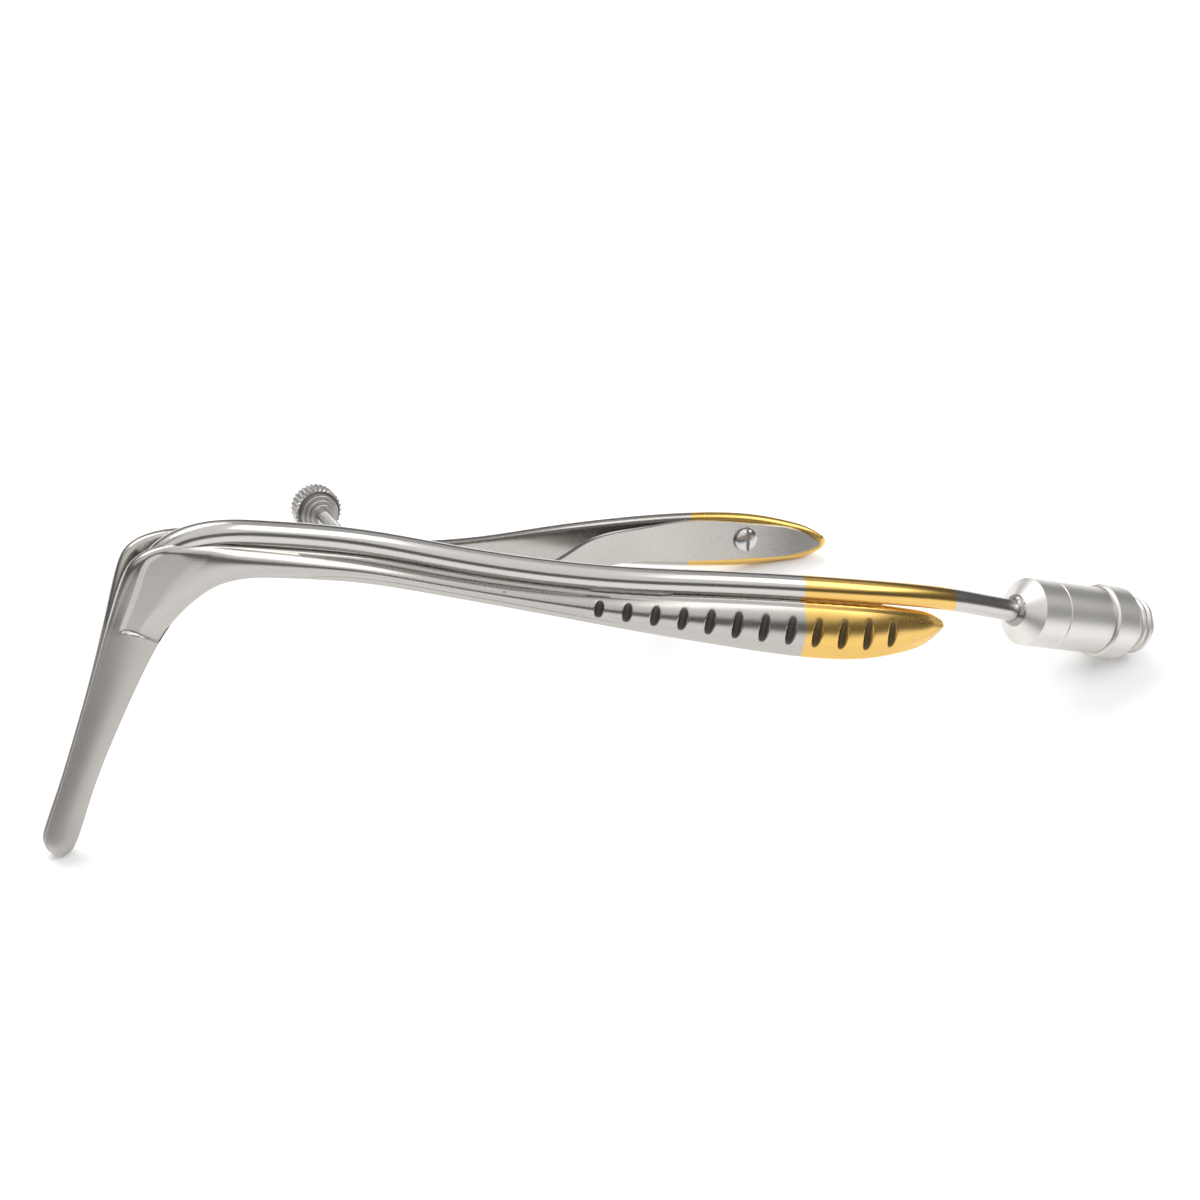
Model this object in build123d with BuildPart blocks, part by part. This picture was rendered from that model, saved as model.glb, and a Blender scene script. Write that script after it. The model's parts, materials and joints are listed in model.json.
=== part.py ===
"""Fibre light nasal speculum with mirrored halves, leaf springs, set screw and light tube.

Built with x running back along the handles, z towards the light tube and the two halves either
side of the plane y = 0. Every piece is then laid down as the object rests on a table.
"""
import os
from math import cos, radians, sin

from build123d import *

# Three undersides that touch the table at rest: blade tip, plain handle, threaded post
blade_rest = (-4.6, 1.2, -55.9)
handle_rest = (131.8, 25.1, -3.6)
post_rest = (184.8, -16.0, -3.2)

# Pivot between the two arms
pivot_x = 50.0
knuckle_radius = 3.6
ear_low = -3.4
ear_high = 0.5
ear_thickness = 1.1
knuckle_gap = 0.3
ear_root_front = 4.9
ear_root_rear = 7.6
pivot_radius = 1.5
running_clearance = 0.03
pivot_head_radius = 2.9
pivot_head_height = 1.0
slot_width = 0.6
slot_depth = 0.45

# Finger grooves along the outside of each handle
groove_count = 12
groove_wheel_radius = 8.0
groove_width = 1.5
groove_floor_width = 0.5
groove_depth = 0.65
groove_line_points = [
    (75.9, 18.2, -1.3),
    (85.2, 21.0, -1.05),
    (94.8, 23.05, -1.0),
    (109.1, 25.8, -0.7),
    (118.4, 27.0, -0.5),
    (128.1, 27.05, 0.4),
]

# Leaf springs
spring_thickness = 0.8
spring_gap = 0.25
free_points = [
    (98.4, 18.5),
    (93.2, 15.7),
    (87.9, 12.3),
    (82.7, 8.8),
    (77.0, 4.6),
    (72.5, 2.0),
    (68.0, 1.1),
]
spring_upper_edge = [
    (137.4, 1.7),
    (134.5, 3.1),
    (128.0, 4.0),
    (118.0, 4.3),
    (108.0, 4.1),
    (98.0, 3.1),
    (83.0, 2.1),
    (69.5, 1.4),
]
spring_lower_edge = [
    (69.5, -1.8),
    (83.0, -2.5),
    (98.0, -3.7),
    (108.0, -4.5),
    (118.0, -4.4),
    (128.0, -3.1),
    (134.5, -1.0),
    (137.4, 0.9),
]
spring_tip_x = 67.9
spring_screw_x = 123.0
spring_screw_z = 0.6
spring_screw_head_radius = 2.3
spring_screw_head_height = 1.1
spring_screw_radius = 1.1
spring_screw_length = 2.6

# Set screw through the plain arm
set_screw_x = 38.8
set_screw_z = -0.45
spindle_radius = 1.3
spindle_tip_y = -2.2
knob_face_y = 24.6
knob_radius = 4.25
knob_width = 3.6
knob_flutes = 30
flute_width = 0.45
boss_steps = ((3.3, 1.0), (2.7, 0.8), (2.1, 0.8))
spindle_pin_radius = 1.1

# Light tube and what it holds
tip_length = 2.5
tube_route_points = [
    (2.6, -2.35, -1.2),
    (6.7, -2.8, 1.75),
    (11.5, -3.85, 3.5),
    (20.0, -4.0, 4.0),
    (39.0, -4.45, 3.62),
    (52.0, -7.85, 3.15),
    (66.0, -12.9, 3.4),
    (80.0, -17.8, 4.5),
    (95.0, -21.4, 5.95),
    (109.0, -24.1, 7.0),
    (124.0, -25.6, 7.4),
    (141.0, -24.2, 6.4),
]
front_bend_radius = 14.0
tube_bend_radius = 60.0
tube_radius = 2.03
tube_bore = 1.5
tube_fit = 0.08
pocket_wall_front = 4.65
pocket_wall_rear = 5.1
pocket_step_x = 6.5

# Light connector on the end of the tube
connector_point = (155.4, -21.9, 4.45)
connector_direction = (31.4, 4.2, -2.9)
cone_length = 2.0
cone_tip_radius = 2.9
body_radius = 6.1
base_length = 6.2
spigot_radius = 4.4
spigot_length = 4.0
sleeve_length = 11.2
collar_radius = 6.7
collar_length = 5.6
post_radius = 5.2
post_length = 5.5
post_relief_radius = 4.6
post_relief_length = 0.6
tube_in_base = 4.0
neck_radius = 4.9
stem_radius = 3.4
solder_length = 0.9
solder_radius = 2.9

# Ribs across one half from blade tip to handle tip: lower edge x and z, upper edge x and z,
# inner face y, thickness in the middle, thickness at the edges
ribs = [
    (-4.5, -55.95, -5.9, -55.85, 0.75, 0.7, 0.5),
    (-3.6, -55.3, -7.15, -55.1, 0.6, 1.05, 0.6),
    (-2.9, -54.1, -8.0, -53.8, 0.5, 1.35, 0.7),
    (-2.35, -52.0, -7.95, -51.5, 0.4, 1.45, 0.75),
    (-1.35, -46.0, -6.8, -45.0, 0.3, 1.55, 0.75),
    (0.75, -36.0, -5.25, -34.9, 0.3, 1.65, 0.75),
    (2.9, -28.0, -4.15, -26.7, 0.3, 1.75, 0.85),
    (5.2, -20.1, -3.2, -18.2, 0.5, 2.0, 1.1),
    (7.8, -13.4, -2.5, -11.3, 0.85, 2.6, 1.6),
    (10.6, -9.1, -1.75, -5.6, 1.4, 3.1, 2.1),
    (13.4, -6.3, -0.4, -2.2, 1.9, 3.3, 2.3),
    (16.2, -4.9, 2.4, -0.1, 2.1, 3.4, 2.4),
    (19.5, -4.1, 7.2, 1.3, 2.25, 3.4, 2.4),
    (24.5, -3.8, 15.0, 1.7, 2.3, 3.4, 2.3),
    (31.0, -3.7, 27.0, 1.65, 2.4, 3.4, 2.3),
    (39.5, -3.8, 39.0, 1.35, 2.8, 3.4, 2.2),
    (52.0, -4.05, 52.0, 0.9, 6.2, 3.4, 2.1),
    (66.0, -4.25, 66.0, 1.15, 11.2, 3.4, 2.0),
    (80.0, -4.55, 80.0, 2.25, 16.1, 3.5, 2.2),
    (95.0, -5.1, 95.0, 3.7, 19.7, 3.6, 2.3),
    (109.0, -5.6, 109.0, 4.75, 22.4, 3.6, 2.3),
    (118.0, -5.5, 118.0, 5.1, 23.7, 3.5, 2.3),
    (126.0, -4.8, 126.0, 5.0, 24.1, 3.3, 2.2),
    (132.5, -3.5, 132.5, 4.4, 23.7, 2.9, 2.0),
    (137.0, -2.0, 137.0, 3.5, 23.1, 2.4, 1.5),
    (139.6, 0.0, 139.6, 2.2, 22.8, 1.5, 0.9),
]

# Flats that round the edges and the outside of every rib
edge_flats = 5
bulge_flats = 6

# Cylinders that stand on their working plane or hang below it
bottom_up = (Align.CENTER, Align.CENTER, Align.MIN)
top_down = (Align.CENTER, Align.CENTER, Align.MAX)


def rib_section(lower_x, lower_z, upper_x, upper_z, inner, thickness, edge):
    """Closed section of one half: flat inside, bulged outside, with edges rounded by short flats."""
    across = Vector(upper_x - lower_x, 0, upper_z - lower_z)
    middle = ((lower_x + upper_x) / 2, inner, (lower_z + upper_z) / 2)
    rib_plane = Plane(origin=middle, x_dir=across, z_dir=Vector(-across.Z, 0, across.X))
    reach = across.length / 2
    flat = reach - edge / 2
    corner = edge / 2
    outline = []
    for step in range(edge_flats + 1):
        turn = radians(180 * step / edge_flats - 90)
        outline.append((flat + corner * cos(turn), corner + corner * sin(turn)))
    for step in range(1, bulge_flats):
        place = 1 - 2 * step / bulge_flats
        outline.append((flat * place, edge + (thickness - edge) * (1 - place ** 2)))
    for step in range(edge_flats + 1):
        turn = radians(90 + 180 * step / edge_flats)
        outline.append((-flat + corner * cos(turn), corner + corner * sin(turn)))
    with BuildSketch(rib_plane) as section:
        with BuildLine():
            Polyline(*outline, close=True)
        make_face()
    return section.sketch


# Wheel that cuts the finger grooves, with a bevelled edge and its axle along z
with BuildPart() as groove_wheel:
    with BuildSketch(Plane.XZ):
        with BuildLine():
            Polyline(
                (0, -groove_width / 2),
                (groove_wheel_radius - groove_depth, -groove_width / 2),
                (groove_wheel_radius - groove_depth / 3, -groove_width * 0.38),
                (groove_wheel_radius, -groove_floor_width / 2),
                (groove_wheel_radius, groove_floor_width / 2),
                (groove_wheel_radius - groove_depth / 3, groove_width * 0.38),
                (groove_wheel_radius - groove_depth, groove_width / 2),
                (0, groove_width / 2),
                close=True,
            )
        make_face()
    revolve(axis=Axis.Z)

# One forged half without its pivot ears
with BuildPart() as forging:
    loft([rib_section(*rib) for rib in ribs])

    # Scoop in the outside of the blade root, leaving a rim in front
    scoop_plane = Plane(origin=(-0.4, 3.2, -8.0), x_dir=(1.0, 0.16, 0.0), z_dir=(-0.16, 1.0, -0.17))
    with BuildSketch(Plane.XZ.offset(-8.0)) as scoop_outline:
        with BuildLine():
            crease = Spline((-1.4, -14.3), (-0.8, -9.5), (0.05, -5.1), (1.4, -1.2), (5.0, 0.6), (9.0, 0.9))
            Line(crease @ 1, (22.0, 0.5))
            Line((22.0, 0.5), (22.0, -17.0))
            Line((22.0, -17.0), (5.5, -17.0))
            ThreePointArc((5.5, -17.0), (1.6, -14.6), crease @ 0)
        make_face()
    with BuildPart(mode=Mode.PRIVATE) as scoop:
        add(extrude(scoop_outline.sketch, amount=8.0, dir=(0, -1, 0), mode=Mode.PRIVATE))
        split(bisect_by=scoop_plane, keep=Keep.TOP)
    add(scoop.part, mode=Mode.SUBTRACT)

    # Finger grooves, each left by the wheel turning across the handle
    groove_line = Spline(*groove_line_points, mode=Mode.PRIVATE)
    for index in range(groove_count):
        place = index / (groove_count - 1)
        on_face = groove_line @ place
        along = groove_line % place
        outward = Vector(-along.Y, along.X, 0).normalized()
        wheel_centre = on_face + outward * (groove_wheel_radius - groove_depth)
        with Locations(Plane(origin=wheel_centre, z_dir=along)):
            add(groove_wheel.part, mode=Mode.SUBTRACT)


# Screw that holds one leaf spring, its axis square to the handle
spring_face_y = 23.85 - spring_gap - spring_thickness
spring_screw_seat = Plane(
    origin=(spring_screw_x, spring_face_y, spring_screw_z), x_dir=(1, 0, 0), z_dir=(0, -1, 0)
)
with BuildPart() as far_spring_screw:
    with Locations(spring_screw_seat):
        Cylinder(spring_screw_head_radius, spring_screw_head_height, align=bottom_up)
    chamfer(far_spring_screw.faces().sort_by(Axis.Y)[0].edges(), 0.5)
    with Locations(spring_screw_seat):
        Cylinder(spring_screw_radius, spring_screw_length, align=top_down)
    with Locations(spring_screw_seat.offset(spring_screw_head_height)):
        Box(slot_width, 8, 2 * slot_depth, mode=Mode.SUBTRACT)

# Leaf spring against the inner face of its handle, curving in to the middle at its free end
plate_points = [(rib[0], rib[4] - spring_gap) for rib in reversed(ribs) if rib[0] > 105]
with BuildPart() as far_spring:
    with BuildSketch(Plane.XY.offset(-8.0)):
        with BuildLine():
            back_line = Spline(*plate_points, *free_points)
            front_points = []
            for index in range(len(plate_points) + len(free_points)):
                place = index / (len(plate_points) + len(free_points) - 1)
                along = back_line % place
                front_points.append(back_line @ place + Vector(-along.Y, along.X, 0) * spring_thickness)
            front_line = Spline(*front_points)
            Line(back_line @ 0, front_line @ 0)
            Line(back_line @ 1, front_line @ 1)
        make_face()
    extrude(amount=16.0)
    with BuildSketch(Plane.XZ):
        with BuildLine():
            upper_edge = Spline(*spring_upper_edge)
            lower_edge = Spline(*spring_lower_edge)
            ThreePointArc(upper_edge @ 1, (spring_tip_x, -0.2), lower_edge @ 0)
            Line(lower_edge @ 1, upper_edge @ 0)
        make_face()
    extrude(amount=40.0, both=True, mode=Mode.INTERSECT)
    with Locations(spring_screw_seat):
        Cylinder(spring_screw_radius, 10, mode=Mode.SUBTRACT)
with BuildPart() as near_spring:
    add(mirror(far_spring.part, about=Plane.XZ))
with BuildPart() as near_spring_screw:
    add(mirror(far_spring_screw.part, about=Plane.XZ))

# Pivot levels: the plain tongue lies between the two ears of the light half
tongue_low = ear_low + ear_thickness + knuckle_gap / 2
tongue_high = ear_high - ear_thickness - knuckle_gap / 2

# Plain half, underneath at rest
with BuildPart() as plain_half:
    add(forging.part)
    with BuildSketch(Plane.XY.offset(tongue_low)):
        with Locations((pivot_x, 0)):
            Circle(knuckle_radius)
        with BuildLine():
            Polyline(
                (pivot_x - knuckle_radius, 0),
                (pivot_x + knuckle_radius, 0),
                (pivot_x + knuckle_radius, ear_root_rear),
                (pivot_x - knuckle_radius, ear_root_front),
                close=True,
            )
        make_face()
    extrude(amount=tongue_high - tongue_low)
    with Locations((pivot_x, 0, 0)):
        Cylinder(pivot_radius + running_clearance, 20, mode=Mode.SUBTRACT)
    with Locations(Plane(origin=(set_screw_x, 0, set_screw_z), z_dir=(0, 1, 0))):
        Cylinder(spindle_radius + running_clearance, 20, align=bottom_up, mode=Mode.SUBTRACT)
    with Locations(spring_screw_seat):
        Cylinder(spring_screw_radius, spring_screw_length, align=top_down, mode=Mode.SUBTRACT)

# Light tube, a round pipe bent along the top of the light half, ending inside the connector
connector_seat = Plane(origin=connector_point, z_dir=connector_direction)
straight_middle = (Vector(*tube_route_points[3]) + Vector(*tube_route_points[4])) / 2
with BuildLine() as tube_route:
    FilletPolyline(*tube_route_points[:4], straight_middle, radius=front_bend_radius)
    FilletPolyline(
        straight_middle,
        *tube_route_points[4:],
        connector_seat.origin,
        connector_seat.offset(tube_in_base).origin,
        radius=tube_bend_radius,
    )
tube_front = Plane(origin=tube_route.line @ 0, z_dir=tube_route.line % 0)
with BuildPart() as light_tube:
    with BuildSketch(tube_front):
        Circle(tube_radius)
    sweep(path=tube_route.line)
    with Locations(tube_front):
        Cylinder(tube_bore, tip_length, align=bottom_up, mode=Mode.SUBTRACT)

# Polished end of the fibre bundle, where the light comes out
with BuildPart() as fibre_tip:
    with Locations(tube_front):
        Cylinder(tube_bore, tip_length, align=bottom_up)

# Light rod from the end of the tube to the end of the connector
sleeve_start = cone_length + base_length
collar_start = sleeve_start + sleeve_length
post_start = collar_start + collar_length
connector_end = post_start + post_length
with BuildPart() as light_rod:
    with Locations(connector_seat.offset(tube_in_base + tube_fit)):
        Cylinder(tube_bore, connector_end - tube_in_base - tube_fit, align=bottom_up)

# Light half, mirrored, with two ears and the pocket for the front of the tube
with BuildPart() as light_half:
    add(mirror(forging.part, about=Plane.XZ))
    for level in (ear_low, ear_high - ear_thickness):
        with BuildSketch(Plane.XY.offset(level)):
            with Locations((pivot_x, 0)):
                Circle(knuckle_radius)
            with BuildLine():
                Polyline(
                    (pivot_x - knuckle_radius, 0),
                    (pivot_x + knuckle_radius, 0),
                    (pivot_x + knuckle_radius, -ear_root_rear),
                    (pivot_x - knuckle_radius, -ear_root_front),
                    close=True,
                )
            make_face()
        extrude(amount=ear_thickness)
    with Locations((pivot_x, 0, 0)):
        Cylinder(pivot_radius, 20, mode=Mode.SUBTRACT)
    with Locations(Plane(origin=(spring_screw_x, -spring_face_y, spring_screw_z), z_dir=(0, 1, 0))):
        Cylinder(spring_screw_radius, spring_screw_length, align=top_down, mode=Mode.SUBTRACT)
    with BuildSketch(Plane.XZ.offset(pocket_wall_front)):
        with BuildLine():
            Polyline(
                (0.7, 0.15), (3.75, -3.4), (pocket_step_x, -1.15), (pocket_step_x, 6.0), (0.7, 6.0), close=True
            )
        make_face()
    extrude(amount=-12.0, mode=Mode.SUBTRACT)
    with BuildSketch(Plane.XZ.offset(pocket_wall_rear)):
        with BuildLine():
            Polyline(
                (pocket_step_x, 6.0),
                (pocket_step_x, -1.15),
                (8.6, 0.0),
                (11.2, 1.05),
                (14.0, 1.6),
                (14.0, 6.0),
                close=True,
            )
        make_face()
    extrude(amount=-12.0, mode=Mode.SUBTRACT)

# Pivot screw, threaded into the lower ear of the light half
with BuildPart() as pivot_screw:
    with Locations((pivot_x, 0, ear_high)):
        Cylinder(pivot_radius, ear_high - ear_low, align=top_down)
        Cylinder(pivot_head_radius, pivot_head_height, align=bottom_up)
    chamfer(pivot_screw.faces().sort_by(Axis.Z)[-1].edges(), 0.3)
    with Locations((pivot_x, 0, ear_high + pivot_head_height)):
        Box(8, slot_width, 2 * slot_depth, rotation=(0, 0, 25), mode=Mode.SUBTRACT)

# Set screw: a spindle through the plain arm, and the knob riveted on its end
boss_length = sum(height for radius, height in boss_steps)
shoulder_y = knob_face_y - boss_length
with BuildPart() as set_spindle:
    with Locations(Plane(origin=(set_screw_x, spindle_tip_y, set_screw_z), z_dir=(0, 1, 0))):
        Cylinder(spindle_radius, shoulder_y - spindle_tip_y, align=bottom_up)
    chamfer(set_spindle.faces().sort_by(Axis.Y)[0].edges(), 0.3)
    with Locations(Plane(origin=(set_screw_x, shoulder_y, set_screw_z), z_dir=(0, 1, 0))):
        Cylinder(spindle_pin_radius, boss_length + knob_width, align=bottom_up)
with BuildPart() as set_knob:
    with Locations(Plane(origin=(set_screw_x, knob_face_y, set_screw_z), z_dir=(0, 1, 0))):
        Cylinder(knob_radius, knob_width, align=bottom_up)
        with PolarLocations(knob_radius, knob_flutes):
            Box(flute_width, flute_width, knob_width, rotation=(0, 0, 45), align=bottom_up, mode=Mode.SUBTRACT)
    level = knob_face_y
    for radius, height in boss_steps:
        with Locations(Plane(origin=(set_screw_x, level, set_screw_z), z_dir=(0, -1, 0))):
            Cylinder(radius, height, align=bottom_up)
        level = level - height
    with Locations(Plane(origin=(set_screw_x, 0, set_screw_z), z_dir=(0, 1, 0))):
        Cylinder(spindle_pin_radius + running_clearance, 60, align=bottom_up, mode=Mode.SUBTRACT)

# Connector: base soldered on the tube, sleeve screwed over its spigot, collar ring and threaded post
with BuildPart() as connector_base:
    with Locations(connector_seat):
        Cone(cone_tip_radius, body_radius, cone_length, align=bottom_up)
    with Locations(connector_seat.offset(cone_length)):
        Cylinder(body_radius, base_length, align=bottom_up)
    with Locations(connector_seat.offset(sleeve_start)):
        Cylinder(spigot_radius, spigot_length, align=bottom_up)
    with Locations(connector_seat):
        Cylinder(tube_radius + tube_fit, tube_in_base + tube_fit, align=bottom_up, mode=Mode.SUBTRACT)
        Cylinder(tube_bore, 30, align=bottom_up, mode=Mode.SUBTRACT)
with BuildPart() as connector_sleeve:
    with Locations(connector_seat.offset(sleeve_start)):
        Cylinder(body_radius, sleeve_length, align=bottom_up)
        Cylinder(neck_radius, sleeve_length + collar_length, align=bottom_up)
        Cylinder(spigot_radius, spigot_length, align=bottom_up, mode=Mode.SUBTRACT)
        Cylinder(stem_radius, 40, align=bottom_up, mode=Mode.SUBTRACT)
with BuildPart() as connector_collar:
    with Locations(connector_seat.offset(collar_start)):
        Cylinder(collar_radius, collar_length, align=bottom_up)
        Cylinder(neck_radius, collar_length, align=bottom_up, mode=Mode.SUBTRACT)
    chamfer(connector_collar.edges().filter_by(GeomType.CIRCLE).sort_by(SortBy.RADIUS)[-2:], 0.4)
with BuildPart() as threaded_post:
    with Locations(connector_seat.offset(post_start + post_relief_length)):
        Cylinder(post_radius, post_length - post_relief_length, align=bottom_up)
    with Locations(connector_seat.offset(post_start)):
        Cylinder(post_relief_radius, post_length, align=bottom_up)
        Cylinder(stem_radius, post_start - sleeve_start - spigot_length, align=top_down)
    with Locations(connector_seat):
        Cylinder(tube_bore, 60, align=bottom_up, mode=Mode.SUBTRACT)
with BuildPart() as solder_ring:
    with Locations(connector_seat.offset(-solder_length)):
        Cone(tube_radius + 0.25, solder_radius, solder_length, align=bottom_up)
        Cylinder(tube_radius + tube_fit, 4, mode=Mode.SUBTRACT)

# Lay the instrument down on its three resting points, then centre it above the origin
down_to_handle = Vector(*handle_rest) - Vector(*blade_rest)
down_to_post = Vector(*post_rest) - Vector(*blade_rest)
table = Plane(origin=blade_rest, x_dir=down_to_handle, z_dir=down_to_post.cross(down_to_handle))
laid = table.location.inverse()
outermost = [light_half, plain_half, threaded_post, connector_collar, set_knob]
box = Compound(children=[piece.part.moved(laid) for piece in outermost]).bounding_box()
resting = Location((-box.center().X, -box.center().Y, -box.min.Z)) * laid

# Label, lay down and save every piece
os.makedirs("parts", exist_ok=True)
plain_half.part.label = "plain_half"
plain_half.part.move(resting)
export_step(plain_half.part, "parts/plain_half.step")
light_half.part.label = "light_half"
light_half.part.move(resting)
export_step(light_half.part, "parts/light_half.step")
pivot_screw.part.label = "pivot_screw"
pivot_screw.part.move(resting)
export_step(pivot_screw.part, "parts/pivot_screw.step")
far_spring.part.label = "far_spring"
far_spring.part.move(resting)
export_step(far_spring.part, "parts/far_spring.step")
near_spring.part.label = "near_spring"
near_spring.part.move(resting)
export_step(near_spring.part, "parts/near_spring.step")
far_spring_screw.part.label = "far_spring_screw"
far_spring_screw.part.move(resting)
export_step(far_spring_screw.part, "parts/far_spring_screw.step")
near_spring_screw.part.label = "near_spring_screw"
near_spring_screw.part.move(resting)
export_step(near_spring_screw.part, "parts/near_spring_screw.step")
set_spindle.part.label = "set_spindle"
set_spindle.part.move(resting)
export_step(set_spindle.part, "parts/set_spindle.step")
set_knob.part.label = "set_knob"
set_knob.part.move(resting)
export_step(set_knob.part, "parts/set_knob.step")
light_tube.part.label = "light_tube"
light_tube.part.move(resting)
export_step(light_tube.part, "parts/light_tube.step")
fibre_tip.part.label = "fibre_tip"
fibre_tip.part.move(resting)
export_step(fibre_tip.part, "parts/fibre_tip.step")
light_rod.part.label = "light_rod"
light_rod.part.move(resting)
export_step(light_rod.part, "parts/light_rod.step")
connector_base.part.label = "connector_base"
connector_base.part.move(resting)
export_step(connector_base.part, "parts/connector_base.step")
connector_sleeve.part.label = "connector_sleeve"
connector_sleeve.part.move(resting)
export_step(connector_sleeve.part, "parts/connector_sleeve.step")
connector_collar.part.label = "connector_collar"
connector_collar.part.move(resting)
export_step(connector_collar.part, "parts/connector_collar.step")
threaded_post.part.label = "threaded_post"
threaded_post.part.move(resting)
export_step(threaded_post.part, "parts/threaded_post.step")
solder_ring.part.label = "solder_ring"
solder_ring.part.move(resting)
export_step(solder_ring.part, "parts/solder_ring.step")
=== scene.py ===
import json
from math import atan2, cos, pi, radians, sin, sqrt

import bmesh
import bpy
import numpy as np
from mathutils import Matrix, Vector


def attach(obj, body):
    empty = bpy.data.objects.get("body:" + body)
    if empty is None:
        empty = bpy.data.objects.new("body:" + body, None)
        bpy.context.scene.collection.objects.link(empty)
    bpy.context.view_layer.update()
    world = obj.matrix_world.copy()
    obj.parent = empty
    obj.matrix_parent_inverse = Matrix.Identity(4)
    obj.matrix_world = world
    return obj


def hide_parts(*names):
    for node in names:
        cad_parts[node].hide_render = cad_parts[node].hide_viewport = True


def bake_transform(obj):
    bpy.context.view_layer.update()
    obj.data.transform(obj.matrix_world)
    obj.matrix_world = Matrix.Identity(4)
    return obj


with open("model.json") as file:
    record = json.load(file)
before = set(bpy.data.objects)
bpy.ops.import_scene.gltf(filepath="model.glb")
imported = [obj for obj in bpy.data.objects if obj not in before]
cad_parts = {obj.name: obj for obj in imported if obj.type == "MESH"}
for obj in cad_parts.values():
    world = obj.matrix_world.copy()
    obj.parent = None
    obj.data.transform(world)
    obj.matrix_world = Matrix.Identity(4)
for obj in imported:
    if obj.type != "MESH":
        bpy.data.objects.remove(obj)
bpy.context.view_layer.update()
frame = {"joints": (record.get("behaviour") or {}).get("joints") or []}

# The instrument on the table
# It lies on one blade tip, one handle and its connector. The hinge axis is the instrument's z and
# the set screw's travel is its y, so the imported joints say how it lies.
MM = 0.001
SIDES = {"plain": 1, "light": -1}
joints = {joint["name"]: joint for joint in frame["joints"]}
PIVOT = Vector((50.0, 0.0, -1.45))
up_axis = Vector(joints["handle_hinge"]["axis"]).normalized()
side_axis = Vector(joints["set_screw_travel"]["axis"]).normalized()
back_axis = side_axis.cross(up_axis).normalized()
turn = Matrix((back_axis, side_axis, up_axis)).transposed()
placing = Matrix.Translation(Vector(joints["handle_hinge"]["pos_m"]) - turn @ (PIVOT * MM)) @ turn.to_4x4()


def to_world(point):
    """A point of the instrument frame, in millimetres, as a point of the row frame in metres."""
    return placing @ (Vector(point) * MM)


def direction(vector):
    """A direction of the instrument frame in the row frame."""
    return (turn @ Vector(vector)).normalized()


# Forged halves
# Each half is one steel forging: satin blade, scooped root, polished arm and gilded handle, flat
# inside, bulged outside and round at its edges. The grooves are pressed in as by a wheel.

# Ribs from blade tip to handle tip: the lower end's x and z, the upper end's x and z, the y of the
# inner face, the thickness and the thickness of the edges.
RIBS = [
    (-4.5, -55.94, -5.9, -55.84, 0.75, 0.69, 0.5),
    (-3.6, -55.29, -7.14, -55.09, 0.6, 1.04, 0.6),
    (-2.9, -54.09, -7.98, -53.79, 0.5, 1.34, 0.7),
    (-2.35, -52.0, -7.93, -51.5, 0.4, 1.44, 0.75),
    (-1.35, -46.0, -6.79, -45.0, 0.3, 1.54, 0.75),
    (0.75, -36.0, -5.25, -34.9, 0.3, 1.65, 0.75),
    (2.9, -28.0, -4.15, -26.7, 0.3, 1.75, 0.85),
    (5.2, -20.1, -3.2, -18.2, 0.5, 2.0, 1.1),
    (7.8, -13.4, -2.5, -11.3, 0.85, 2.6, 1.6),
    (10.6, -9.1, -1.75, -5.6, 1.4, 3.1, 2.1),
    (13.4, -6.3, -0.4, -2.2, 1.9, 3.3, 2.3),
    (16.2, -4.9, 2.4, -0.1, 2.1, 3.4, 2.4),
    (19.5, -4.1, 7.2, 1.3, 2.25, 3.4, 2.4),
    (24.5, -3.8, 15.0, 1.7, 2.3, 3.4, 2.3),
    (31.0, -3.7, 27.0, 1.65, 2.4, 3.4, 2.3),
    (39.5, -3.8, 39.0, 1.35, 2.8, 3.4, 2.2),
    (52.0, -4.05, 52.0, 0.9, 6.2, 3.4, 2.1),
    (66.0, -4.25, 66.0, 1.15, 11.2, 3.4, 2.0),
    (80.0, -4.55, 80.0, 2.25, 16.1, 3.5, 2.2),
    (95.0, -5.1, 95.0, 3.7, 19.7, 3.6, 2.3),
    (109.0, -5.6, 109.0, 4.75, 22.4, 3.6, 2.3),
    (118.0, -5.5, 118.0, 5.1, 23.7, 3.5, 2.3),
    (126.0, -4.8, 126.0, 5.0, 24.1, 3.3, 2.2),
    (132.5, -3.48, 132.5, 4.4, 23.7, 2.89, 2.0),
    (137.0, -1.98, 137.0, 3.5, 23.1, 2.39, 1.5),
    (139.4, -0.3, 139.4, 2.45, 22.8, 1.55, 0.95),
]
GROOVE_LINE = [
    (75.9, 18.2, -1.3),
    (85.2, 21.0, -1.05),
    (94.8, 23.05, -1.0),
    (109.1, 25.8, -0.7),
    (118.4, 27.0, -0.5),
    (128.1, 27.05, 0.4),
]
GROOVE_COUNT, GROOVE_WHEEL, GROOVE_DEPTH, GROOVE_WIDTH = 12, 8.0, 0.72, 1.65
GROOVED_START, GROOVED_END = 74.5, 129.8
ROOT_FIRST_RIB, ROOT_LAST_RIB = 5, 13
ROW_GAP, ROOT_ROW_GAP, GROOVED_ROW_GAP = 0.8, 0.2, 0.13
TIP_ROUND = 1.1
TIP_ROWS = (0.15, 0.32, 0.5, 0.67, 0.81, 0.91, 0.97, 0.995)
FLAT_STEPS, EDGE_STEPS, BULGE_STEPS = 6, 9, 48


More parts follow.
